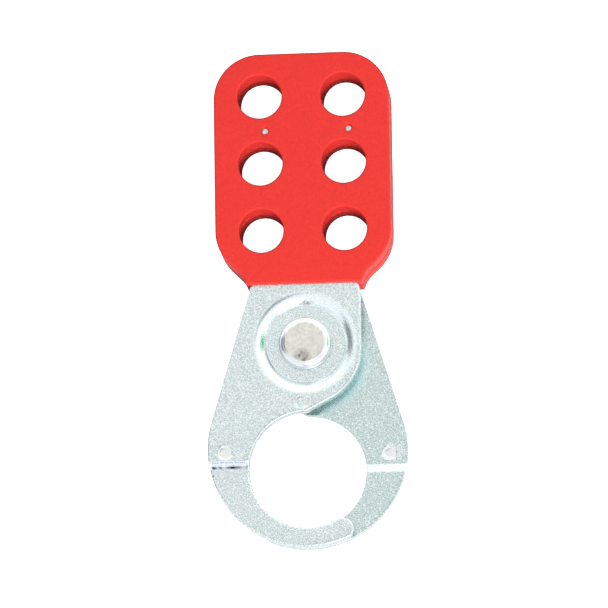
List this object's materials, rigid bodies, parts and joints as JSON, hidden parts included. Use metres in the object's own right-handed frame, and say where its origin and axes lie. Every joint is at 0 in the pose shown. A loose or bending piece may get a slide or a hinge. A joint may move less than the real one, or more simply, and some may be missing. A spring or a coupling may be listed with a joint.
{
  "type": "lockout hasp",
  "caption": "Scissor lockout hasp: two stepped steel jaws riveted together close into a ring, with red moulded grips pierced for padlock shackles.",
  "frame": {"origin": "middle of the outline of the closed hasp, on the plane of its rear face that it lies on", "axes": "+X across the hasp, +Y along it from the jaw to the grips, +Z out of the front face"},
  "size_m": [0.0436, 0.1102, 0.0102],
  "materials": {
    "back_zinc_plate": "zinc plated, fine grain",
    "front_zinc_plate": "zinc plated, fine grain",
    "back_grip_red": "satin moulded",
    "front_grip_red": "satin moulded",
    "rivet_steel": "turned end face"
  },
  "bodies": {
    "back_half": {"back_jaw_plate": "back_zinc_plate", "back_grip": "back_grip_red", "pivot_rivet": "rivet_steel"},
    "front_half": {"front_jaw_plate": "front_zinc_plate", "front_grip": "front_grip_red"}
  },
  "joints": [
    {"name": "jaw_pivot", "type": "hinge", "parent": "back_half", "child": "front_half", "pos_m": [0, -0.00995, 0.0051], "axis": [0, 0, -1], "range_deg": [0, 60]}
  ]
}
